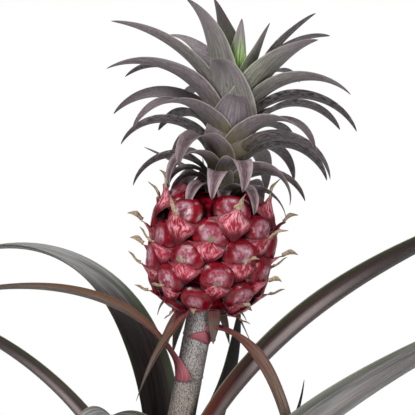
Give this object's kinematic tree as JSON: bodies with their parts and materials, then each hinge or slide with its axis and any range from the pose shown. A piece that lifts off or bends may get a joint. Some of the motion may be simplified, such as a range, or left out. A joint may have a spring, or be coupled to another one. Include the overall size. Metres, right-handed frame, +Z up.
{
  "type": "potted pineapple plant",
  "caption": "Dwarf red pineapple plant in a plain flower pot: sword-leaf rosette, scurfy stalk, one red fruit and a crown of arching grey-violet leaves.",
  "frame": {"origin": "centre of the pot's flat underside", "axes": "+Z up; -Y towards the viewer of the front; the fruit and its crown lean towards +X"},
  "size_m": [0.4376, 0.4155, 0.477],
  "materials": {
    "pot": "matt unglazed clay",
    "soil": "crumbly peat compost, at the density of wood",
    "stem": "fleshy stalk with grey scurf",
    "fruit": "glossy red eyes with matt pink bracts",
    "crown_core": "pale green, hidden by the leaves",
    "crown_leaf": "grey-violet bloom over dark purple green",
    "rosette_leaf": "dark maroon and green, satin",
    "stalk_leaf": "pink to brown, thin and dry"
  },
  "bodies": {
    "root": {"crown_core": "crown_core", "crown_leaf_back_left_top": "crown_leaf", "crown_leaf_back_low": "crown_leaf", "crown_leaf_back_lower_left": "crown_leaf", "crown_leaf_back_lower_right": "crown_leaf", "crown_leaf_back_middle_left": "crown_leaf", "crown_leaf_back_middle_right": "crown_leaf", "crown_leaf_back_upper": "crown_leaf", "crown_leaf_front_centre_low": "crown_leaf", "crown_leaf_front_left": "crown_leaf", "crown_leaf_front_lower_left": "crown_leaf", "crown_leaf_front_lower_right": "crown_leaf", "crown_leaf_front_middle": "crown_leaf", "crown_leaf_front_upper": "crown_leaf", "crown_leaf_heart_back": "crown_leaf", "crown_leaf_heart_right": "crown_leaf", "crown_leaf_left_behind": "crown_leaf", "crown_leaf_left_broad": "crown_leaf", "crown_leaf_left_inner": "crown_leaf", "crown_leaf_left_long": "crown_leaf", "crown_leaf_left_low": "crown_leaf", "crown_leaf_left_mottled": "crown_leaf", "crown_leaf_left_third": "crown_leaf", "crown_leaf_left_top": "crown_leaf", "crown_leaf_right_back_mid": "crown_leaf", "crown_leaf_right_behind": "crown_leaf", "crown_leaf_right_broad": "crown_leaf", "crown_leaf_right_dark": "crown_leaf", "crown_leaf_right_front": "crown_leaf", "crown_leaf_right_hook": "crown_leaf", "crown_leaf_right_long": "crown_leaf", "crown_leaf_right_lower": "crown_leaf", "crown_leaf_right_lower_back": "crown_leaf", "crown_leaf_right_mottled": "crown_leaf", "crown_leaf_right_third": "crown_leaf", "crown_leaf_right_top_back": "crown_leaf", "crown_leaf_upright_left": "crown_leaf", "fruit": "fruit", "pot": "pot", "rosette_leaf_back": "rosette_leaf", "rosette_leaf_back_left": "rosette_leaf", "rosette_leaf_back_right": "rosette_leaf", "rosette_leaf_back_upright": "rosette_leaf", "rosette_leaf_front": "rosette_leaf", "rosette_leaf_front_left": "rosette_leaf", "rosette_leaf_front_right": "rosette_leaf", "rosette_leaf_left_broad": "rosette_leaf", "rosette_leaf_left_corner": "rosette_leaf", "rosette_leaf_left_low": "rosette_leaf", "rosette_leaf_left_lowest": "rosette_leaf", "rosette_leaf_right_front": "rosette_leaf", "rosette_leaf_right_low": "rosette_leaf", "rosette_leaf_right_lowest": "rosette_leaf", "rosette_leaf_right_spike": "rosette_leaf", "soil": "soil", "stalk_leaf_left_hanging": "stalk_leaf", "stalk_leaf_left_long": "stalk_leaf", "stalk_leaf_right": "stalk_leaf", "stalk_leaf_right_hanging": "stalk_leaf", "stem": "stem"}
  },
  "joints": []
}
